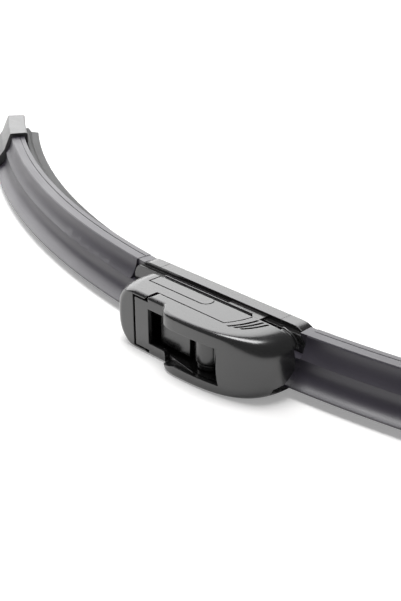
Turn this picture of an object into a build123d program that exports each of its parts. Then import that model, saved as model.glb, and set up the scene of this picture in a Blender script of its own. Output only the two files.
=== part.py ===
from build123d import *
from math import asin, cos, degrees, hypot, radians, sqrt
import os

# Wiper blade of the beam type, lying on its side.
# X runs along the middle of the blade, +Y points to the rubber lip,
# -Y to the side the wiper arm comes from, and +Z is up from the table.
# The origin is on the table, straight below the axis of the swivel.

# Blade
blade_length = 450.0
bow_radius = 370.0          # curve of the blade's rubber side when free
bow_x = -6.0                # middle of the bow along X
spine_far_y = 18.6          # rubber side of the spine at the middle of the bow
mid_z = 10.0                # height of the blade's middle plane

# Spoiler, the profile on the arm's side of the spine
base_width = 14.0           # width of the spoiler's foot
base_height = 5.2           # height of the foot's side wall
foot_bevel = 0.4
shoulder_height = 8.5       # where the flank is lowest behind the shoulder
shoulder_out = 0.5          # from the middle plane to the shoulder
flank_sag = 1.1             # sag of the side between the foot and the shoulder
ridge_height = 13.3         # from the foot's rubber side to the spoiler's edge
ridge_round = 0.55
side_slit = 0.3             # line along the foot, where its two lips meet

# Spring steel strips
strip_width = 5.1
strip_thick = 0.9
strip_gap = 2.2             # between the two strips, for the rubber's middle
strip_depth = 1.5           # from the foot's rubber side to the strips

# Rubber element
head_width = 6.0            # head above the strips
head_thick = 1.4
bead_width = 6.2            # bead below the strips
bead_out = 0.2              # how far the bead stands out of the foot
rubber_play = 0.8           # free depth round the bead
neck_length = 1.3
lip_neck = 1.1
lip_root = 5.6
lip_waist = 1.8
lip_edge = 1.4              # height of the lip's square shoulder
lip_slope = 1.3             # height of the slope below the shoulder
lip_length = 7.4            # rubber below the foot
lip_tip = 0.8

# Base of the connector
rail_left_x = -52.5
rail_right_x = 24.5
end_length = 11.5           # each end piece of the base
rail_width = 15.0
rail_near_y = 16.0
rail_far_y = 20.5
end_round = 6.5
deck_near_y = 14.4
deck_width = 12.0
lip_channel = 8.0           # width of the channel for the rubber
cheek_length = 9.0
cheek_thick = 1.6
flange_length = 15.0        # foot of the cheeks on the deck
flange_y = 11.0

# Adapter
adapter_width = 20.0
wall = 1.6
rear_y = 7.5                # rear edge of the side walls
frame_y = -5.6              # front of the flat frame on the left
front_y = -9.66             # front of the arched cover at its crest
edge_round = 1.31           # round along the front edges
left_x = -40.8
left_round = 8.0            # round of the left end, from side wall to end
corner_x = 5.8              # round of the left end in plan, along X
corner_y = 10.0             # and along Y
arch_start_x = -15.5
step_lead = 1.9             # how softly the arch starts
step_rise = 1.3             # how steeply it rises
crest_x = -6.58
nose_mid_x = 16.65          # where the side walls end in the nose
nose_reach = 10.04          # from there to the tip
nose_power = 2.84           # fullness of the nose seen from the front
nose_pull = 29.4            # length of the front's long curve
nose_belly = 10.2           # depth of the nose's round
nose_y = 7.6

# Parting between the adapter's body and its cover
slit = 0.3
seam_y = -1.4
seam_end_x = 6.5
seam_rear_x = 9.7
seam_arc = 20.0
cap_gap_x = -29.05          # gap between the end cap and the frame
cap_gap = 1.05
frame_half = 8.2            # half the height of the flat frame
plate_half = 8.8            # from the middle plane to the plate over the frame
plate_gap = 0.5             # between that plate and the cover's shoulder
cover_start_x = -23.9       # where the cover's side walls begin
cover_corner = 2.2          # round of their corner in plan
cover_shoulder = 3.0        # and seen from the front
frame_rear_y = -3.0

# Window for the hook, and the slot beside it
window_left_x = -22.5
window_step_x = -14.6
window_right_x = 10.5
window_flare = 0.7          # how far its right edge bows out at the ends
window_left_z = 4.1
window_left_top = 15.85
window_z = 3.6
window_top = 15.46
bar_round = 1.5             # corner of the frame's lower bar
bar_slot = 1.0
sill_z = 1.2                # lowest place of the arch's lower bar
sill_end_x = -6.5
sill_depth = 3.7            # from the middle of the boss to the sill's cut

# Rear lip of the adapter
lip_inset = 1.5
rim_inset = 1.0
rim_thick = 0.4
lip_out = 3.3
body_lip_left_x = -32.5
body_lip_right_x = 6.2
cover_lip_x = 18.9
cover_lip_z = 14.2          # the cover's lip ends there, clear of the spoiler

# Inside of the adapter
tongue_thick = 1.3
tongue_left_x = -21.2
tongue_right_x = 9.2
tongue_tip_x = -0.7
tongue_tip_y = -7.1
tongue_left_y = -3.6
tongue_step_x = -13.8
tongue_slope = 2.0
tongue_step_y = -4.7
tongue_right_y = -5.2
panel_left_x = -20.3        # floor of the hook's channel
panel_right_x = -7.1
panel_width = 12.0
panel_y = -2.3
web_y = 0.5
web_right_x = -10.0
core_rear_y = 5.4
bridge_left_x = 6.6         # wall that carries the boss
bridge_y = -2.8
arm_rear_y = 3.4
cap_web = 1.5

# Swivel
side_play = 0.4             # between the cheeks and the tongues beside them
boss_play = 0.6             # between the boss and the cheeks
boss_radius = 5.0
pin_radius = 2.0
pin_clearance = 0.06
pin_proud = 0.3

# Lines on the side walls
pad_left_x = -31.4
pad_right_x = -8.1
pad_y = 2.7
pad_width = 5.4
pad_line = 0.35
pad_depth = 0.3
grip_x = 8.8
grip_y = -2.05
grip_rear_x = 12.5
grip_rear_y = 6.9
grip_pitch = 2.0
grip_stagger = 0.68
grip_width = 0.8
grip_depth = 0.5

# Opening in the nose for the spoiler's edge
fin_start_x = 15.0
fin_start_y = 0.5
fin_low_z = 2.3
fin_tip_z = 4.4
fin_knee_y = 3.7
fin_knee_z = 5.3
fin_top_y = 8.2
fin_top_z = 9.6

# End caps of the blade
cap_length = 27.0
cap_wall = 1.6
cap_cover = 2.2             # thickness of the closed end
cap_ridge = 3.2             # flat height of the hood's edge
cap_hollow = 5.0
cap_soft = 1.0
mouth_width = 8.4

# How the solids are made
overlap = 0.1               # by which joined outlines run into each other
near = 0.1                  # within which a corner is picked by its place
past = 1.0                  # degrees by which a cut along the bow runs past its piece
loft_steps = 10             # slices of the adapter's loft in each half
loft_power = 0.25           # how closely the slices crowd towards the side walls

cheek_out = adapter_width / 2 - wall - tongue_thick - side_play
cheek_in = cheek_out - cheek_thick
boss_width = 2 * (cheek_in - boss_play)
pin_reach = cheek_out + pin_proud
bow_y = spine_far_y + bow_radius
bow_axis = Axis((bow_x, bow_y, 0), (0, 0, 1))
bow_plane = Plane(origin=(bow_x, bow_y, mid_z), x_dir=(0, -1, 0), z_dir=(-1, 0, 0))
half_angle = degrees(blade_length / 2 / (bow_radius + strip_depth))


def bow_angle(x):
    """Angle round the bow's axis of a place along X."""
    return degrees(asin((x - bow_x) / (bow_radius + strip_depth)))


def along_bow(section, start, end):
    """Carry a section (radius, height from the middle plane) along the bow."""
    placed = bow_plane * section
    return revolve(placed, bow_axis, end - start).rotate(bow_axis, start)


def rect(r0, r1, z0, z1):
    return Pos((r0 + r1) / 2, (z0 + z1) / 2) * Rectangle(r1 - r0, z1 - z0)


def box(x0, x1, y0, y1, z0, z1):
    size = (x1 - x0, y1 - y0, z1 - z0)
    return Pos((x0 + x1) / 2, (y0 + y1) / 2, (z0 + z1) / 2) * Box(*size)


def both_sides(x0, x1, y0, y1, near, far):
    """The same box above and below the middle plane, near and far from it."""
    upper = box(x0, x1, y0, y1, mid_z + near, mid_z + far)
    return upper + box(x0, x1, y0, y1, mid_z - far, mid_z - near)


def band(x0, x1, y0, y1, half):
    """Box that lies evenly about the middle plane."""
    return box(x0, x1, y0, y1, mid_z - half, mid_z + half)


def arc_centre(x0, y0, x1, y1, radius):
    """Centre, on the left, of the arc that joins two places in plan."""
    chord = hypot(x1 - x0, y1 - y0)
    back = sqrt(radius ** 2 - chord ** 2 / 4)
    cx = (x0 + x1) / 2 - back * (y1 - y0) / chord
    cy = (y0 + y1) / 2 + back * (x1 - x0) / chord
    return cx, cy


def spoiler_outline():
    """Foot, shoulder and hollow flank that rises to the ridge."""
    r0 = bow_radius
    half = base_width / 2
    foot = r0 + base_height
    top = r0 + ridge_height
    shoulder = (r0 + shoulder_height, shoulder_out)
    ridge = (top, ridge_round - half)
    deep = top - shoulder[0]
    wide = shoulder_out - ridge[1]
    hollow = (top - deep * sqrt(0.5), shoulder_out - wide * sqrt(0.5))
    edge = [
        Line((r0, -half), (r0, half)),
        Line((r0, half), (foot, half)),
        Line((foot, half), (foot + foot_bevel, half - foot_bevel)),
        ThreePointArc((foot + foot_bevel, half - foot_bevel),
                      ((foot + shoulder[0]) / 2, (half + shoulder_out) / 2 - flank_sag), shoulder),
        ThreePointArc(shoulder, hollow, ridge),
        Line(ridge, (top, -half)),
        Line((top, -half), (r0, -half)),
    ]
    return make_face(Wire(edge))


def strip_space():
    """Both steel strips with the slit between them filled."""
    reach = strip_gap / 2 + strip_width
    r0 = bow_radius + strip_depth
    return rect(r0, r0 + strip_thick, -reach, reach)


def rubber_section():
    """Head, middle between the strips, bead, neck and the wiping lip."""
    r0 = bow_radius
    top = r0 + strip_depth + strip_thick
    head = rect(top, top + head_thick, -head_width / 2, head_width / 2)
    middle = rect(r0, top, -strip_gap / 2, strip_gap / 2)
    bead = rect(r0 - bead_out, r0 + strip_depth, -bead_width / 2, bead_width / 2)
    root = r0 - bead_out - neck_length
    neck = rect(root, r0 - bead_out, -lip_neck / 2, lip_neck / 2)
    shoulder = root - lip_edge
    waist = shoulder - lip_slope
    tip = r0 - lip_length
    side = [(root, lip_root / 2), (shoulder, lip_root / 2), (waist, lip_waist / 2), (tip, lip_tip / 2)]
    other = [(r, -z) for r, z in reversed(side)]
    return head + middle + bead + neck + make_face(Polyline(side + other, close=True))


def rubber_space():
    """Room for the rubber's head and bead inside the foot."""
    r0 = bow_radius
    top = r0 + strip_depth + strip_thick + head_thick
    upper = rect(r0 + strip_depth, top, -head_width / 2, head_width / 2)
    lower = rect(r0 - rubber_play, r0 + strip_depth, -bead_width / 2, bead_width / 2)
    return upper + lower


def spoiler_section():
    slit_r = bow_radius + strip_depth + strip_thick / 2
    section = spoiler_outline() - strip_space() - rubber_space()
    for side in (-1, 1):
        z = side * base_width / 2
        section -= rect(slit_r - side_slit / 2, slit_r + side_slit / 2, z - side_slit, z + side_slit)
    return section


def make_rubber():
    return along_bow(rubber_section(), -half_angle, half_angle)


def make_strip(side):
    near = side * strip_gap / 2
    far = near + side * strip_width
    r0 = bow_radius + strip_depth
    section = rect(r0, r0 + strip_thick, min(near, far), max(near, far))
    return along_bow(section, -half_angle, half_angle)


def make_spoiler(start, end):
    return along_bow(spoiler_section(), start, end)


def cap_outline():
    """Outline of the hood, the spoiler's outline with thicker, softer walls."""
    half = base_width / 2 + cap_wall
    low = bow_radius - cap_wall
    foot = bow_radius + base_height + cap_wall / 2
    top = bow_radius + ridge_height + cap_wall
    waist = bow_radius + shoulder_height + cap_wall / 2
    outline = Polyline((low, -half), (low, half), (foot, half), (waist, shoulder_out + cap_wall / 2),
                       (top, cap_ridge - half), (top, -half), close=True)
    face = make_face(outline)
    hollow = [v for v in face.vertices() if abs(v.X - waist) < near]
    face = fillet(hollow, cap_hollow)
    soft = [v for v in face.vertices() if v.X < foot + near or v.X > top - near]
    return fillet(soft, cap_soft)


def make_end_cap(side):
    """Hood over the end of the blade, open on the rubber side."""
    start = half_angle - degrees(cap_length / bow_radius)
    end = half_angle + degrees(cap_cover / bow_radius)
    hood = along_bow(cap_outline(), start, end)
    hood -= along_bow(spoiler_outline(), start - past, half_angle)
    mouth = rect(bow_radius - 2 * cap_wall, bow_radius + cap_wall, -mouth_width / 2, mouth_width / 2)
    hood -= along_bow(mouth, start - past, half_angle)
    if side < 0:
        hood = mirror(hood, Plane(origin=(bow_x, 0, 0), z_dir=(1, 0, 0)))
    return hood


def base_blank(x0, x1):
    """Straight channel that grips both strips, open for the rubber."""
    rail = band(x0, x1, rail_near_y, rail_far_y, rail_width / 2)
    return rail + band(x0, x1, deck_near_y, rail_near_y, deck_width / 2)


def blade_space():
    """Everything of the blade that runs through the base."""
    low = bow_radius - lip_length - 1
    channel = rect(low, bow_radius + strip_depth, -lip_channel / 2, lip_channel / 2)
    section = strip_space() + rubber_space() + channel
    return along_bow(section, bow_angle(rail_left_x) - 2 * past, bow_angle(rail_right_x) + 2 * past)


def make_base():
    base = base_blank(rail_left_x + end_length, rail_right_x - end_length)
    half = cheek_length / 2
    foot = flange_length / 2
    base += both_sides(-half, half, 0, rail_near_y, cheek_in, cheek_out)
    base += both_sides(-foot, foot, flange_y, rail_near_y, cheek_in, cheek_out)
    for side in (-1, 1):
        base += Pos(0, 0, mid_z + side * (cheek_in + cheek_out) / 2) * Cylinder(half, cheek_thick)
    base -= Pos(0, 0, mid_z) * Cylinder(pin_radius, adapter_width)
    return base - blade_space()


def make_base_end(side):
    """End piece of the base with its corners rounded down to the blade."""
    x_out = rail_right_x if side > 0 else rail_left_x
    x_in = x_out - side * end_length
    piece = base_blank(min(x_in, x_out), max(x_in, x_out))
    rim = Plane.XZ * (Pos((x_in + x_out) / 2, mid_z) * Rectangle(end_length, rail_width))
    corners = [v for v in rim.vertices() if abs(v.X - x_out) < near]
    rim = fillet(corners, end_round)
    piece &= extrude(rim, amount=2 * rail_far_y, both=True)
    return piece - blade_space()


def make_pin():
    return Pos(0, 0, mid_z) * Cylinder(pin_radius, 2 * pin_reach)


def run_back(radius, depth):
    """How far a round has run back at a depth below its highest place."""
    if radius <= depth:
        return 0.0
    return radius - sqrt(radius ** 2 - (radius - depth) ** 2)


def shell_slice(height, inset):
    """Outline of the adapter at one height from the middle plane."""
    half = adapter_width / 2 - inset
    depth = half - height
    fullness = max(0.0, 1 - (height / half) ** nose_power) ** (1 / nose_power)
    tip = nose_mid_x + (nose_reach - inset) * fullness
    pull = nose_pull * (tip - crest_x) / (nose_mid_x + nose_reach - crest_x)
    soft = run_back(edge_round - inset, depth)
    front = front_y + inset + soft
    low = frame_y + inset + soft
    end = left_x + inset + run_back(left_round - inset, depth)
    rx = corner_x - inset / 2
    ry = corner_y - inset
    start = arch_start_x + inset / 2
    rear = 2 * rear_y
    return Wire([
        Line((end, rear), (end, low + ry)),
        EllipticalCenterArc((end + rx, low + ry), rx, ry, start_angle=180, arc_size=90),
        Line((end + rx, low), (start, low)),
        Bezier((start, low), (start + step_lead, low), (start + step_rise, front), (crest_x, front)),
        Bezier((crest_x, front), (crest_x + pull, front), (tip, nose_y - nose_belly), (tip, nose_y)),
        Line((tip, nose_y), (tip, rear)),
        Line((tip, rear), (end, rear)),
    ])


def adapter_loft(inset):
    """Solid envelope of the adapter, drawn in from its outer face by inset."""
    half = adapter_width / 2 - inset
    turns = [radians(90 * step / loft_steps) for step in range(loft_steps)]
    upper = [half * cos(turn) ** loft_power for turn in turns]
    heights = [-h for h in upper] + [0.0] + upper[::-1]
    slices = [Pos(0, 0, mid_z + h) * shell_slice(abs(h), inset) for h in heights]
    return Solid.make_loft(slices)


def slab(y0, y1):
    """Everything between two places along Y."""
    reach = rail_left_x * 2
    return box(reach, -reach, y0, y1, -adapter_width, 2 * adapter_width)


def adapter_skin():
    """Side walls and front, and behind them the sunken lip with its rim."""
    inner = wall + tongue_thick
    rear = rear_y + lip_out
    skin = (adapter_loft(0) - adapter_loft(wall)) & slab(2 * front_y, rear_y)
    core = adapter_loft(inner)
    lip = (adapter_loft(lip_inset) - core) & slab(rear_y - lip_inset, rear)
    rim = (adapter_loft(rim_inset) - core) & slab(rear - rim_thick, rear)
    kept = band(body_lip_left_x, body_lip_right_x, 0, rear, adapter_width)
    kept += box(cover_lip_x, -left_x, 0, rear, cover_lip_z, adapter_width)
    return skin + ((lip + rim) & kept)


def seam_side(gap):
    """Everything left of the curved seam, less half the gap."""
    cx, cy = arc_centre(seam_end_x, seam_y, seam_rear_x, rear_y, seam_arc)
    disc = Pos(cx, cy, mid_z) * Cylinder(seam_arc + gap, 3 * adapter_width)
    return disc + band(2 * left_x, cx, -adapter_width, 2 * adapter_width, adapter_width)


def shoulder(gap):
    """Everything right of the cover's corner, rounded seen from the front."""
    x = cover_start_x + cover_shoulder
    half = adapter_width / 2
    low = half - cover_shoulder
    face = rect(x, -left_x, mid_z - 2 * half, mid_z + 2 * half)
    face += rect(cover_start_x - gap, x, mid_z - low, mid_z + low)
    for side in (-1, 1):
        face += Pos(x, mid_z + side * low) * Circle(cover_shoulder + gap)
    return extrude(Plane.XZ * face, amount=adapter_width, both=True)


def body_region(gap):
    """Where the adapter's walls belong to its body and not to the cover."""
    out = adapter_width
    left = band(2 * left_x, cap_gap_x - cap_gap / 2, -out, out, out)
    seat = band(2 * left_x, -left_x, seam_y + gap, out, out) & seam_side(-gap)
    plate_end_x = cover_start_x + cover_shoulder
    plate = both_sides(cap_gap_x - cap_gap, plate_end_x, -out, seam_y + gap, plate_half, out)
    return left + seat + (plate - shoulder(plate_gap))


def cover_region(gap):
    """Flat frame, side walls with their rounded corner, and nose."""
    out = adapter_width
    round_x = cover_start_x + cover_corner
    round_y = frame_y + cover_corner
    frame = band(cap_gap_x + cap_gap / 2, round_x, -out, frame_rear_y, frame_half)
    sides = band(round_x, -left_x, -out, seam_y - gap, out)
    sides += band(cover_start_x, round_x, round_y, seam_y - gap, out)
    sides += Pos(round_x, round_y, mid_z) * Cylinder(cover_corner, 2 * out)
    nose = band(crest_x, -left_x, seam_y - gap - 1, out, out) - seam_side(gap)
    return frame + (sides & shoulder(0)) + nose


def window():
    """Opening in the front through which the arm's hook goes in."""
    left = rect(window_left_x, window_step_x + overlap, window_left_z, window_left_top)
    flare = window_right_x + window_flare
    middle = (window_z + window_top) / 2
    right = make_face(Wire([
        Line((window_step_x, window_z), (flare, window_z)),
        ThreePointArc((flare, window_z), (window_right_x, middle), (flare, window_top)),
        Line((flare, window_top), (window_step_x, window_top)),
        Line((window_step_x, window_top), (window_step_x, window_z)),
    ]))
    return extrude(Plane.XZ * (left + right), amount=adapter_width)


def sill():
    """Slot beside the frame's lower bar and the arch's thinner sill."""
    slot_x = window_step_x + bar_slot
    slot = rect(window_step_x, slot_x, -1, window_left_z)
    start_x = slot_x - overlap
    thin = make_face(Polyline((start_x, sill_z), (sill_end_x, window_z), (start_x, window_z), close=True))
    corner_low = window_left_z - bar_round
    corner = rect(window_step_x - bar_round, window_step_x + overlap, corner_low, window_left_z)
    corner -= Pos(window_step_x - bar_round, window_left_z - bar_round) * Circle(bar_round)
    return extrude(Plane.XZ.offset(sill_depth) * (slot + thin + corner), amount=adapter_width)


def fin_slot():
    """Opening in the nose that lets the spoiler's edge swing."""
    out = rear_y + 2 * lip_out
    outline = Polyline((fin_start_y, fin_low_z), (fin_start_y, fin_tip_z), (fin_knee_y, fin_knee_z),
                       (fin_top_y, fin_top_z), (out, fin_top_z), (out, fin_low_z), close=True)
    return extrude(Plane.YZ.offset(fin_start_x) * make_face(outline), amount=adapter_width)


def on_both_walls(face, depth):
    """Sink a face into the outer side of both side walls."""
    low = extrude(face, amount=depth)
    return low + extrude(Pos(0, 0, adapter_width - depth) * face, amount=2 * depth)


def pad_groove():
    """Shallow outline of the long pad, on both side walls."""
    y = pad_y + pad_width / 2
    plate = Pos((pad_left_x + pad_right_x) / 2, y) * Rectangle(pad_right_x - pad_left_x, pad_width)
    plate += Pos(pad_right_x, y) * Circle(pad_width / 2)
    return on_both_walls(plate - offset(plate, -pad_line), pad_depth)


def grip_grooves():
    """Three curved grooves beside the seam, on both side walls."""
    cut = Part()
    for count in range(3):
        x0 = grip_x + grip_pitch * count
        y0 = grip_y + grip_stagger * count
        cx, cy = arc_centre(x0, y0, grip_rear_x + grip_pitch * count, grip_rear_y, seam_arc)
        outer = Circle(seam_arc + grip_width / 2)
        ring = Pos(cx, cy) * (outer - Circle(seam_arc - grip_width / 2))
        ring &= Pos(cx + seam_arc, (y0 + grip_rear_y) / 2) * Rectangle(seam_arc, grip_rear_y - y0)
        cut += on_both_walls(ring, grip_depth)
    return cut


def tongue():
    """Ledge inside the side walls that guides the arm's hook."""
    outline = Polyline((tongue_left_x, core_rear_y), (tongue_left_x, tongue_left_y),
                       (tongue_step_x - tongue_slope, tongue_left_y), (tongue_step_x, tongue_step_y),
                       (tongue_tip_x, tongue_tip_y), (tongue_right_x, tongue_right_y),
                       (tongue_right_x, core_rear_y), close=True)
    blank = extrude(make_face(outline), amount=adapter_width)
    inner = adapter_width / 2 - wall
    return blank & both_sides(tongue_left_x, tongue_right_x, -adapter_width, adapter_width,
                              inner - tongue_thick, inner)


def make_cover(skin):
    cover = skin & cover_region(slit / 2)
    return cover - window() - sill() - fin_slot() - grip_grooves()


def make_adapter_body(skin):
    """Left end cap, side walls, hook channel and boss in one moulding."""
    body = skin & body_region(slit / 2)
    inner = adapter_width / 2 - wall
    half = boss_width / 2
    cap_web_y = core_rear_y - cap_web
    plug = adapter_loft(lip_inset) & slab(cap_web_y, core_rear_y)
    body += plug & band(2 * left_x, panel_left_x, 0, core_rear_y, adapter_width)
    body += tongue()
    body += band(panel_left_x, panel_right_x, panel_y, core_rear_y, panel_width / 2)
    body += band(panel_left_x, web_right_x, web_y, core_rear_y, inner)
    body += Pos(0, 0, mid_z) * Cylinder(boss_radius, boss_width)
    body += band(0, tongue_right_x, bridge_y, arm_rear_y, half)
    body += band(bridge_left_x, tongue_right_x, bridge_y, core_rear_y, inner)
    body -= Pos(0, 0, mid_z) * Cylinder(pin_radius + pin_clearance, 2 * pin_reach + pin_clearance)
    return body - pad_groove()


skin = adapter_skin()
nodes = {
    "rubber_element": make_rubber(),
    "spine_strip_upper": make_strip(1),
    "spine_strip_lower": make_strip(-1),
    "spoiler_left": make_spoiler(-half_angle, bow_angle(rail_left_x)),
    "spoiler_right": make_spoiler(bow_angle(rail_right_x), half_angle),
    "end_cap_left": make_end_cap(-1),
    "end_cap_right": make_end_cap(1),
    "connector_base": make_base(),
    "base_end_left": make_base_end(-1),
    "base_end_right": make_base_end(1),
    "swivel_pin": make_pin(),
    "adapter_body": make_adapter_body(skin),
    "adapter_cover": make_cover(skin),
}

os.makedirs("parts", exist_ok=True)
for name, shape in nodes.items():
    export_step(shape, f"parts/{name}.step")
    low, high = shape.bounding_box().min, shape.bounding_box().max
    print(f"{name}: {len(shape.solids())} solid, {shape.volume:.0f} mm3, "
          f"X {low.X:.1f}..{high.X:.1f} Y {low.Y:.1f}..{high.Y:.1f} Z {low.Z:.2f}..{high.Z:.2f}")
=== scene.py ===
"""Beam wiper blade lying on its side: finishes of its pieces, floor, light and camera."""
import math

import bpy
import numpy as np
from bpy.props import FloatProperty, FloatVectorProperty, PointerProperty
from mathutils import Matrix, Quaternion, Vector


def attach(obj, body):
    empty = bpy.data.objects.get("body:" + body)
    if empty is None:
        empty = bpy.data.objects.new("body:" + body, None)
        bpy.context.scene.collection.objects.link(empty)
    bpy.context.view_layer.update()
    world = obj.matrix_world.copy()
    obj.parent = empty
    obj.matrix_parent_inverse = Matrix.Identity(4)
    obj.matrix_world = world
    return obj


bl_info = {
    "name": "Wiper blade",
    "version": (1, 0, 0),
    "blender": (4, 5, 0),
    "location": "3D View > Sidebar > Wiper blade",
    "description": "Finishes, floor, light and camera for a beam wiper blade",
    "category": "Object",
}

MM = 0.001
WHITE = (1, 1, 1, 1)
BLACK = (0, 0, 0, 1)

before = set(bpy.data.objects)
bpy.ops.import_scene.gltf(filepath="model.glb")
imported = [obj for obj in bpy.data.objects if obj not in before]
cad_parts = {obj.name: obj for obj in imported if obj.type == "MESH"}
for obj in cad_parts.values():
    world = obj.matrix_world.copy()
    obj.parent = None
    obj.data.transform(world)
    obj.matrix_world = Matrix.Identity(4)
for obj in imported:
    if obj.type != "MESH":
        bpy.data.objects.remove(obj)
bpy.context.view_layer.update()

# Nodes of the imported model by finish
SPOILERS = ("spoiler_left", "spoiler_right")
LIP = ("rubber_element",)
STRIPS = ("spine_strip_upper", "spine_strip_lower")
PIN = ("swivel_pin",)
END_CAPS = ("end_cap_left", "end_cap_right")
BASE = ("connector_base", "base_end_left", "base_end_right")
ADAPTER = ("adapter_body", "adapter_cover")

# Bow of the blade and height of its middle plane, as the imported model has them
BOW_RADIUS = 370.0 * MM
BOW_CENTRE = (-6.0 * MM, 388.6 * MM)
MIDDLE = 10.0 * MM

# Section of the spoiler, each place by its distance out from the bow and its height from the middle
HALF_WIDTH = 7.0 * MM
FOOT_HEIGHT = 5.2 * MM
SHOULDER = (8.5 * MM, 0.5 * MM)
RIDGE = (13.3 * MM, -6.45 * MM)
# Middle of the hollow flank, as on a quarter of an ellipse between the ridge and the shoulder
HOLLOW_SHARE = math.sqrt(0.5)
HOLLOW = (RIDGE[0] - HOLLOW_SHARE * (RIDGE[0] - SHOULDER[0]),
          SHOULDER[1] - HOLLOW_SHARE * (SHOULDER[1] - RIDGE[1]))
FLANK_POINTS = 16

# Added ends of the spoiler's halves, in degrees round the bow: each one stops just short of its half,
# and its edge and its foot go on to where the nose or the base covers them
RIGHT_HALF = 4.706
RIGHT_EDGE_START = 3.7
RIGHT_FOOT_START = 4.3
LEFT_HALF = -7.186
LEFT_EDGE_END = -5.8
LEFT_FOOT_END = -6.6
ROOT_STEPS = 8
# They lie this far inside the real section where two faces would share a place
ROOT_INSET = 0.1 * MM

# Limits of every roughness, the grey that rubbed and dusty places add, and the rays that round an edge
ROUGH_LEAST = 0.05
ROUGH_MOST = 0.95
PALE_LIFT = 0.004
BEVEL_SAMPLES = 8

# Floor: a round grid, with rings that lie closer together towards its middle
FLOOR_REACH = 3.0
FLOOR_RINGS = 12
FLOOR_SPOKES = 48

# Lamps: place and size in metres, and the turn of the one above about its own axis in degrees, with
# which its reflection follows the upper round of the nose
BACK_LAMP_PLACE = (-1.036, 0.505, 0.6)
BACK_LAMP_SIZE = (2.0, 1.08)
TOP_LAMP_PLACE = (-0.11, 0.06, 1.0)
TOP_LAMP_SIZE = (0.4, 0.72)
TOP_LAMP_TURN = 40.0

# Camera, solved from the straight edges of the adapter and the base: angles in degrees, place in mm
CAMERA_AZIMUTH = 47.096
CAMERA_ELEVATION = 25.014
CAMERA_ROLL = -0.4186
CAMERA_PLACE = (223.23, -211.90, 168.12)
CAMERA_NEAR = 0.01
CAMERA_FAR = 50
SENSOR_WIDTH = 36


class Socket:
    """A shader value that is worked with in plain expressions."""

    def __init__(self, maker, socket):
        self.maker = maker
        self.socket = socket

    def beside(self, output):
        """Another output of the same node."""
        return Socket(self.maker, self.socket.node.outputs[output])

    def math(self, kind, *values):
        """Math node on this value, and on a second one where it takes two."""
        return self.maker.math(kind, self, *values)

    def __add__(self, other):
        return self.maker.math("ADD", self, other)

    def __radd__(self, other):
        return self.maker.math("ADD", other, self)

    def __sub__(self, other):
        return self.maker.math("SUBTRACT", self, other)

    def __rsub__(self, other):
        return self.maker.math("SUBTRACT", other, self)

    def __mul__(self, other):
        return self.maker.math("MULTIPLY", self, other)

    def __rmul__(self, other):
        return self.maker.math("MULTIPLY", other, self)

    def __truediv__(self, other):
        return self.maker.math("DIVIDE", self, other)

    def __rtruediv__(self, other):
        return self.maker.math("DIVIDE", other, self)

    def clamp(self, low, high):
        return self.math("MAXIMUM", low).math("MINIMUM", high)


class NodeTree:
    """Nodes of a material or of the world, from none up to its output."""

    def __init__(self, owner, output):
        owner.use_nodes = True
        self.owner = owner
        self.tree = owner.node_tree
        self.tree.nodes.clear()
        self.output = self.tree.nodes.new(output)

    def node(self, kind, settings=None, values=None, out=0):
        """Add one node: its settings first, then the values or links of its sockets."""
        made = self.tree.nodes.new(kind)
        for key, value in (settings or {}).items():
            setattr(made, key, value)
        for key, value in (values or {}).items():
            if isinstance(value, Socket):
                self.tree.links.new(value.socket, made.inputs[key])
            else:
                made.inputs[key].default_value = value
        return Socket(self, made.outputs[out])

    def math(self, kind, *values):
        return self.node("ShaderNodeMath", {"operation": kind}, dict(enumerate(values)))

    def vector(self, x, y, z):
        return self.node("ShaderNodeCombineXYZ", None, {"X": x, "Y": y, "Z": z})

    def place(self):
        return self.node("ShaderNodeTexCoord", out="Object")

    def mapped(self, **values):
        """Coordinates that a Mapping node has moved by Location or stretched by Scale."""
        return self.node("ShaderNodeMapping", None, {"Vector": self.place(), **values})

    def noise(self, vector, size, detail=2.0, roughness=0.5):
        """Noise from 0 to 1 with spots of about that size in metres."""
        values = {"Vector": vector, "Scale": 1 / size, "Detail": detail, "Roughness": roughness}
        return self.node("ShaderNodeTexNoise", {"noise_dimensions": "3D"}, values)

    def mix(self, share, first, second):
        """Colour from first to second as share goes from 0 to 1."""
        share_in, first_in, second_in, colour_out = 0, 6, 7, 2
        values = {share_in: share, first_in: first, second_in: second}
        return self.node("ShaderNodeMix", {"data_type": "RGBA"}, values, colour_out)

    def bump(self, height, depth, normal):
        """Normal of a relief that is depth metres high where height is 1."""
        values = {"Height": height, "Strength": 1.0, "Distance": depth, "Normal": normal}
        return self.node("ShaderNodeBump", None, values)

    def soft_edges(self, radius):
        return self.node("ShaderNodeBevel", {"samples": BEVEL_SAMPLES}, {"Radius": radius})

    def end_in(self, shader):
        """Link the shader to the output and give back what the nodes belong to."""
        self.tree.links.new(shader.socket, self.output.inputs["Surface"])
        return self.owner

    def principled(self, **values):
        """End in one Principled shader."""
        named = {key.replace("_", " "): value for key, value in values.items()}
        return self.end_in(self.node("ShaderNodeBsdfPrincipled", None, named))


def new_material(name):
    return NodeTree(bpy.data.materials.new(name), "ShaderNodeOutputMaterial")


def opaque(rgb):
    return (rgb[0], rgb[1], rgb[2], 1.0)


def paler(rgb, gain):
    """Colour of a rubbed or dusty place."""
    return opaque([min(1.0, part * gain + PALE_LIFT) for part in rgb])


def blended(first, second, share):
    """Pattern of two patterns, with that share of the first one."""
    return first * share + second * (1 - share)


def around(middle, *swings):
    """Roughness round a middle value, which each pattern swings over a range of its own."""
    value = middle
    for pattern, swing in swings:
        value = value + (pattern - 0.5) * swing
    return value.clamp(ROUGH_LEAST, ROUGH_MOST)


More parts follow.
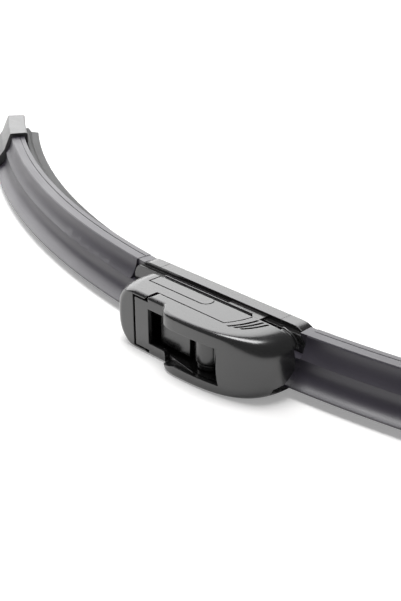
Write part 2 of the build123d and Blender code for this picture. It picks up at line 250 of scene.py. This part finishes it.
def along_blade(nodes):
    """Coordinates that follow the bow: length along it, distance from its centre, height."""
    centred = nodes.mapped(Location=(-BOW_CENTRE[0], -BOW_CENTRE[1], 0))
    x = nodes.node("ShaderNodeSeparateXYZ", None, {0: centred}, "X")
    y, z = x.beside("Y"), x.beside("Z")
    distance = (x * x + y * y).math("SQRT")
    angle = x.math("ARCTAN2", 0 - y)
    return angle * BOW_CENTRE[1], distance, z


def extruded_rubber(name, settings):
    """Satin rubber with faint lines along the extrusion and a dusty bloom."""
    line_width = 0.45 * MM
    line_stretch = 0.012
    bloom_size = 6 * MM
    bloom_stretch = 0.25
    grain_size = 0.16 * MM
    relief_depth = 0.012 * MM
    edge_radius = 0.15 * MM
    dust_from = 0.35
    dust_share = 0.9
    nodes = new_material(name)
    length, distance, height = along_blade(nodes)
    lines = nodes.noise(nodes.vector(length * line_stretch, distance, height), line_width, detail=3.0)
    bloom = nodes.noise(nodes.vector(length * bloom_stretch, distance, height), bloom_size,
                        detail=4.0, roughness=0.6)
    grain = nodes.noise(nodes.place(), grain_size)
    dust = (bloom - dust_from).clamp(0, 1) * dust_share
    shade = nodes.mix(dust, opaque(settings.colour), paler(settings.colour, gain=1.35))
    rough = around(settings.roughness, (bloom, 0.16), (lines, 0.08))
    relief = blended(lines, grain, share=0.6)
    normal = nodes.bump(relief, relief_depth, nodes.soft_edges(edge_radius))
    return nodes.principled(Base_Color=shade, Roughness=rough, Normal=normal, IOR=settings.gloss)


def moulded_plastic(name, settings):
    """Satin plastic with the fine grain of a spark-eroded mould, rounded edges and paler rubbed patches.
    """
    grain_size = 0.22 * MM
    grain_depth = 0.003 * MM
    cloud_size = 9 * MM
    flow_size = 2.2 * MM
    flow_stretch = 0.25
    edge_radius = 0.4 * MM
    pale_from = 0.3
    nodes = new_material(name)
    grain = nodes.noise(nodes.place(), grain_size, roughness=0.55)
    cloud = nodes.noise(nodes.place(), cloud_size, detail=3.0)
    flow = nodes.noise(nodes.mapped(Scale=(flow_stretch, 1, 1)), flow_size, detail=3.0, roughness=0.55)
    rubbed = (blended(cloud, flow, share=0.6) - pale_from).clamp(0, 1)
    shade = nodes.mix(rubbed, opaque(settings.colour), paler(settings.colour, gain=1.16))
    rough = around(settings.roughness, (flow, 0.12), (grain, 0.1))
    normal = nodes.bump(grain, grain_depth, nodes.soft_edges(edge_radius))
    return nodes.principled(Base_Color=shade, Roughness=rough, Normal=normal, IOR=settings.gloss)


def drawn_steel(name, settings, line_stretch):
    """Cold-rolled steel with fine lines, which a small stretch value draws out along X."""
    line_width = 0.12 * MM
    line_depth = 0.004 * MM
    edge_radius = 0.08 * MM
    nodes = new_material(name)
    lines = nodes.noise(nodes.mapped(Scale=(line_stretch, 1, 1)), line_width, detail=3.0)
    rough = around(settings.roughness, (lines, 0.2))
    normal = nodes.bump(lines, line_depth, nodes.soft_edges(edge_radius))
    return nodes.principled(Base_Color=opaque(settings.colour), Metallic=1.0, Roughness=rough,
                            Normal=normal)


def dress(names, material):
    """Give the nodes one material, in place of the plain one they come with."""
    for name in names:
        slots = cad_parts[name].data.materials
        slots.clear()
        slots.append(material)


def add_mesh(name, points, faces, material):
    """Add an object at the origin, with its points and faces in its own mesh."""
    mesh = bpy.data.meshes.new(name)
    mesh.from_pydata(points.tolist(), [], faces)
    mesh.materials.append(material)
    piece = bpy.data.objects.new(name, mesh)
    bpy.context.scene.collection.objects.link(piece)
    return piece


def flank():
    """Hollow flank from the ridge to the shoulder, the circle through three places of the section.

    Its centre c has the same distance to all three: 2 (p - ridge) . c = |p|^2 - |ridge|^2 for p the
    hollow's middle and the shoulder.
    """
    ends = np.array([HOLLOW, SHOULDER])
    ridge = np.array(RIDGE)
    centre = np.linalg.solve(2 * (ends - ridge), (ends ** 2).sum(1) - (ridge ** 2).sum())
    start, stop = (np.arctan2(*(place - centre)[::-1]) for place in (ridge, ends[1]))
    if stop - start > np.pi:
        stop -= 2 * np.pi
    turn = np.linspace(start, stop, FLANK_POINTS)
    radius = np.hypot(*(ridge - centre))
    return centre + radius * np.stack([np.cos(turn), np.sin(turn)], -1)


def spoiler_root(name, section, start, stop, material):
    """Closed piece of the spoiler that carries a section on along the bow.

    Each place of the section goes round the bow's centre from the angle start to the angle stop, at
    the bow's radius plus its own distance out and at its own height: x = cx + R sin a and
    y = cy - R cos a.
    """
    turn = np.radians(np.linspace(start, stop, ROOT_STEPS))[:, None]
    reach = BOW_RADIUS + section[:, 0][None, :]
    x = BOW_CENTRE[0] + reach * np.sin(turn)
    y = BOW_CENTRE[1] - reach * np.cos(turn)
    z = np.broadcast_to(MIDDLE + section[:, 1], x.shape)
    points = np.stack([x, y, z], -1).reshape(-1, 3)
    index = np.arange(len(points)).reshape(ROOT_STEPS, len(section))
    after = np.roll(index, -1, axis=1)
    walls = np.stack([index[:-1], after[:-1], after[1:], index[1:]], -1).reshape(-1, 4)
    ends = [index[0, ::-1].tolist(), index[-1].tolist()]
    piece = add_mesh(name, points, walls.tolist() + ends, material)
    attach(piece, "blade")


def spoiler_roots(material):
    """Short ends with which the spoiler's halves enter the nose and the base, edge and foot."""
    edge_in = FOOT_HEIGHT - ROOT_INSET
    foot_half = HALF_WIDTH - ROOT_INSET
    under = [[edge_in, -HALF_WIDTH], [RIDGE[0], -HALF_WIDTH]]
    edge = np.concatenate([under, flank(), [[edge_in, SHOULDER[1]]]])
    foot = np.array([[ROOT_INSET, -foot_half], [edge_in, -foot_half], [edge_in, foot_half],
                     [ROOT_INSET, foot_half]])
    spoiler_root("right_root_edge", edge, RIGHT_EDGE_START, RIGHT_HALF, material)
    spoiler_root("right_root_foot", foot, RIGHT_FOOT_START, RIGHT_HALF, material)
    spoiler_root("left_root_edge", edge, LEFT_HALF, LEFT_EDGE_END, material)
    spoiler_root("left_root_foot", foot, LEFT_HALF, LEFT_FOOT_END, material)


def floor_material(settings):
    """Matt floor that keeps shadows, lifted towards white for the camera and white far away."""
    nodes = new_material("floor")
    camera = nodes.node("ShaderNodeLightPath", out="Is Camera Ray")
    seen = (camera + camera.beside("Is Glossy Ray")).clamp(0, 1)
    away = nodes.node("ShaderNodeVectorMath", {"operation": "LENGTH"}, {"Vector": nodes.place()}, "Value")
    share = ((away - settings.plain_radius) / settings.plain_radius).clamp(0, 1)
    matt = nodes.node("ShaderNodeBsdfDiffuse", None, {"Color": opaque(settings.floor_colour)})
    lift = nodes.node("ShaderNodeEmission", None, {"Color": WHITE, "Strength": seen * settings.floor_lift})
    backdrop = nodes.node("ShaderNodeEmission", None,
                          {"Color": nodes.mix(share, BLACK, WHITE), "Strength": camera})
    both = nodes.node("ShaderNodeAddShader", None, {0: matt, 1: lift})
    return nodes.end_in(nodes.node("ShaderNodeAddShader", None, {0: both, 1: backdrop}))


def make_floor(settings):
    """Round flat floor under the part.

    Its points lie on rings and spokes, x = r cos a and y = r sin a, and a ring's radius grows with the
    square of its number.
    """
    radius = np.linspace(0, 1, FLOOR_RINGS + 1)[1:, None] ** 2 * FLOOR_REACH
    turn = np.linspace(0, 2 * np.pi, FLOOR_SPOKES, endpoint=False)[None, :]
    flat = np.zeros((FLOOR_RINGS, FLOOR_SPOKES))
    rings = np.stack([radius * np.cos(turn), radius * np.sin(turn), flat], -1)
    points = np.concatenate([[[0, 0, 0]], rings.reshape(-1, 3)])
    index = 1 + np.arange(FLOOR_RINGS * FLOOR_SPOKES).reshape(FLOOR_RINGS, FLOOR_SPOKES)
    after = np.roll(index, -1, axis=1)
    quads = np.stack([index[:-1], index[1:], after[1:], after[:-1]], -1).reshape(-1, 4)
    hub = np.stack([np.zeros(FLOOR_SPOKES, int), index[0], after[0]], -1)
    floor = add_mesh("floor", points, hub.tolist() + quads.tolist(), floor_material(settings))


def make_lamp(name, place, size, power, turn=0.0):
    """Rectangular lamp that faces the origin, turned about its own axis by some degrees."""
    lamp = bpy.data.lights.new(name, "AREA")
    lamp.shape = "RECTANGLE"
    lamp.size, lamp.size_y = size
    lamp.energy = power
    holder = bpy.data.objects.new(name, lamp)
    holder.location = place
    facing = (-Vector(place)).to_track_quat("-Z", "Y")
    holder.rotation_euler = (facing @ Quaternion((0, 0, 1), math.radians(turn))).to_euler()
    bpy.context.scene.collection.objects.link(holder)


def make_world(settings):
    """Even dim light all round, and plain white where the camera sees past the floor."""
    nodes = NodeTree(bpy.data.worlds.new("room"), "ShaderNodeOutputWorld")
    camera = nodes.node("ShaderNodeLightPath", out="Is Camera Ray")
    even = nodes.node("ShaderNodeBackground", None, {"Color": WHITE, "Strength": settings.room_light})
    white = nodes.node("ShaderNodeBackground", None, {"Color": WHITE, "Strength": 1.0})
    choice = nodes.node("ShaderNodeMixShader", None, {0: camera, 1: even, 2: white})
    bpy.context.scene.world = nodes.end_in(choice)


def make_camera(settings):
    """Camera at the photograph's viewing angle."""
    azimuth = math.radians(CAMERA_AZIMUTH)
    elevation = math.radians(CAMERA_ELEVATION)
    roll = math.radians(CAMERA_ROLL)
    back = Vector((math.sin(azimuth) * math.cos(elevation),
                   -math.cos(azimuth) * math.cos(elevation), math.sin(elevation)))
    level = Vector((math.cos(azimuth), math.sin(azimuth), 0))
    rise = back.cross(level)
    right = level * math.cos(roll) + rise * math.sin(roll)
    up = back.cross(right)
    camera = bpy.data.cameras.new("camera")
    camera.lens = settings.lens
    camera.sensor_width = SENSOR_WIDTH
    camera.clip_start = CAMERA_NEAR
    camera.clip_end = CAMERA_FAR
    holder = bpy.data.objects.new("camera", camera)
    facing = Matrix((right, up, back)).transposed().to_4x4()
    holder.matrix_world = Matrix.Translation(Vector(CAMERA_PLACE) * MM) @ facing
    bpy.context.scene.collection.objects.link(holder)
    bpy.context.scene.camera = holder


def finish_settings(what, colour, roughness, gloss=None):
    """PropertyGroup class of one finish: colour, roughness and, where it isn't metal, its gloss."""
    fields = {
        "colour": FloatVectorProperty(name="Colour", description=f"Base colour of {what}",
                                      subtype="COLOR", size=3, min=0, max=1, default=colour),
        "roughness": FloatProperty(name="Roughness", description=f"Roughness of {what}",
                                   subtype="FACTOR", min=0, max=1, default=roughness),
    }
    if gloss is not None:
        fields["gloss"] = FloatProperty(name="Gloss", description=f"Refractive index of {what}",
                                        min=1, max=3, default=gloss)
    title = "".join(word.capitalize() for word in what.replace("the ", "").split())
    return type(f"WIPER_PG_{title}", (bpy.types.PropertyGroup,), {"__annotations__": fields})


SpoilerSettings = finish_settings("the spoiler", colour=(0.028, 0.024, 0.036), roughness=0.42, gloss=1.75)
LipSettings = finish_settings("the wiping rubber", colour=(0.012, 0.012, 0.013), roughness=0.55, gloss=1.5)
StripSettings = finish_settings("the steel strips", colour=(0.36, 0.36, 0.38), roughness=0.32)
PinSettings = finish_settings("the swivel pin", colour=(0.55, 0.55, 0.56), roughness=0.22)
CapSettings = finish_settings("the end caps", colour=(0.02, 0.02, 0.021), roughness=0.32, gloss=1.7)
BaseSettings = finish_settings("the base", colour=(0.016, 0.0155, 0.0155), roughness=0.22, gloss=1.75)
AdapterSettings = finish_settings("the adapter", colour=(0.014, 0.014, 0.0145), roughness=0.21, gloss=1.78)


class WIPER_PG_Stage(bpy.types.PropertyGroup):
    """Floor, light and lens"""

    floor_colour: FloatVectorProperty(
        name="Floor", description="Colour of the floor", subtype="COLOR",
        size=3, min=0, max=1, default=(0.85, 0.845, 0.84))
    floor_lift: FloatProperty(
        name="Floor lift", description="How far the floor is lifted to white for the camera",
        subtype="FACTOR", min=0, max=1, default=0.27)
    plain_radius: FloatProperty(
        name="Plain radius", description="Radius within which the floor isn't faded to white",
        subtype="DISTANCE", unit="LENGTH", min=0.05, default=0.32)
    back_light: FloatProperty(
        name="Back light", description="Power of the large lamp behind",
        subtype="POWER", unit="POWER", min=0, default=19.0)
    top_light: FloatProperty(
        name="Top light", description="Power of the lamp above",
        subtype="POWER", unit="POWER", min=0, default=8.2)
    room_light: FloatProperty(
        name="Room light", description="Strength of the even light all round",
        min=0, max=2, default=0.15)
    lens: FloatProperty(
        name="Lens", description="Focal length of the camera in mm",
        unit="CAMERA", min=10, default=69.56)


class WIPER_PG_Settings(bpy.types.PropertyGroup):
    """Every finish and the stage"""

    spoiler: PointerProperty(name="Spoiler", description="Finish of the spoiler", type=SpoilerSettings)
    lip: PointerProperty(name="Wiping rubber", description="Finish of the wiping rubber", type=LipSettings)
    strips: PointerProperty(name="Steel strips", description="Finish of the strips", type=StripSettings)
    pin: PointerProperty(name="Swivel pin", description="Finish of the swivel pin", type=PinSettings)
    caps: PointerProperty(name="End caps", description="Finish of the end caps", type=CapSettings)
    base: PointerProperty(name="Base", description="Finish of the base", type=BaseSettings)
    adapter: PointerProperty(name="Adapter", description="Finish of the adapter", type=AdapterSettings)
    stage: PointerProperty(name="Stage", description="Floor, light and camera", type=WIPER_PG_Stage)


class WIPER_OT_spoiler(bpy.types.Operator):
    """Finish both halves of the spoiler as extruded rubber and add their ends at the base"""

    bl_idname = "wiper.spoiler"
    bl_label = "Spoiler"

    def execute(self, context):
        rubber = extruded_rubber("spoiler_rubber", context.scene.wiper.spoiler)
        dress(SPOILERS, rubber)
        spoiler_roots(rubber)
        return {"FINISHED"}


class WIPER_OT_lip(bpy.types.Operator):
    """Finish the wiping rubber"""

    bl_idname = "wiper.lip"
    bl_label = "Wiping rubber"

    def execute(self, context):
        dress(LIP, extruded_rubber("lip_rubber", context.scene.wiper.lip))
        return {"FINISHED"}


class WIPER_OT_spine(bpy.types.Operator):
    """Finish the two spring strips and the swivel pin as steel"""

    bl_idname = "wiper.spine"
    bl_label = "Steel pieces"

    def execute(self, context):
        dress(STRIPS, drawn_steel("spring_steel", context.scene.wiper.strips, line_stretch=0.05))
        dress(PIN, drawn_steel("pin_steel", context.scene.wiper.pin, line_stretch=1.0))
        return {"FINISHED"}


class WIPER_OT_caps(bpy.types.Operator):
    """Finish the end caps as moulded plastic"""

    bl_idname = "wiper.caps"
    bl_label = "End caps"

    def execute(self, context):
        dress(END_CAPS, moulded_plastic("cap_plastic", context.scene.wiper.caps))
        return {"FINISHED"}


class WIPER_OT_base(bpy.types.Operator):
    """Finish the base and its two end pieces as moulded plastic"""

    bl_idname = "wiper.base"
    bl_label = "Base"

    def execute(self, context):
        dress(BASE, moulded_plastic("base_plastic", context.scene.wiper.base))
        return {"FINISHED"}


class WIPER_OT_adapter(bpy.types.Operator):
    """Finish the adapter's body and cover as moulded plastic"""

    bl_idname = "wiper.adapter"
    bl_label = "Adapter"

    def execute(self, context):
        dress(ADAPTER, moulded_plastic("adapter_plastic", context.scene.wiper.adapter))
        return {"FINISHED"}


class WIPER_OT_stage(bpy.types.Operator):
    """Floor, soft light and the camera"""

    bl_idname = "wiper.stage"
    bl_label = "Stage"

    def execute(self, context):
        settings = context.scene.wiper.stage
        make_floor(settings)
        make_lamp("back_lamp", BACK_LAMP_PLACE, BACK_LAMP_SIZE, settings.back_light)
        make_lamp("top_lamp", TOP_LAMP_PLACE, TOP_LAMP_SIZE, settings.top_light, TOP_LAMP_TURN)
        make_world(settings)
        make_camera(settings)
        context.scene.view_settings.view_transform = "Standard"
        return {"FINISHED"}


class WIPER_PT_panel(bpy.types.Panel):
    """Lists the steps and their settings in the sidebar"""

    bl_label = "Wiper blade"
    bl_idname = "WIPER_PT_panel"
    bl_space_type = "VIEW_3D"
    bl_region_type = "UI"
    bl_category = "Wiper blade"

    def draw(self, context):
        settings = context.scene.wiper
        for step in STEPS:
            self.layout.operator(step.bl_idname)
        for name in settings.__annotations__:
            group = getattr(settings, name)
            box = self.layout.box()
            for field in group.__annotations__:
                box.prop(group, field)


STEPS = (WIPER_OT_spoiler, WIPER_OT_lip, WIPER_OT_spine, WIPER_OT_caps, WIPER_OT_base, WIPER_OT_adapter,
         WIPER_OT_stage)
GROUPS = (SpoilerSettings, LipSettings, StripSettings, PinSettings, CapSettings, BaseSettings,
          AdapterSettings, WIPER_PG_Stage, WIPER_PG_Settings)
CLASSES = GROUPS + STEPS + (WIPER_PT_panel,)


def register():
    for cls in CLASSES:
        bpy.utils.register_class(cls)
    bpy.types.Scene.wiper = PointerProperty(type=WIPER_PG_Settings)


def unregister():
    del bpy.types.Scene.wiper
    for cls in reversed(CLASSES):
        bpy.utils.unregister_class(cls)


def main():
    register()
    for step in (bpy.ops.wiper.spoiler, bpy.ops.wiper.lip, bpy.ops.wiper.spine, bpy.ops.wiper.caps,
                 bpy.ops.wiper.base, bpy.ops.wiper.adapter, bpy.ops.wiper.stage):
        step()


if __name__ == "__main__":
    main()
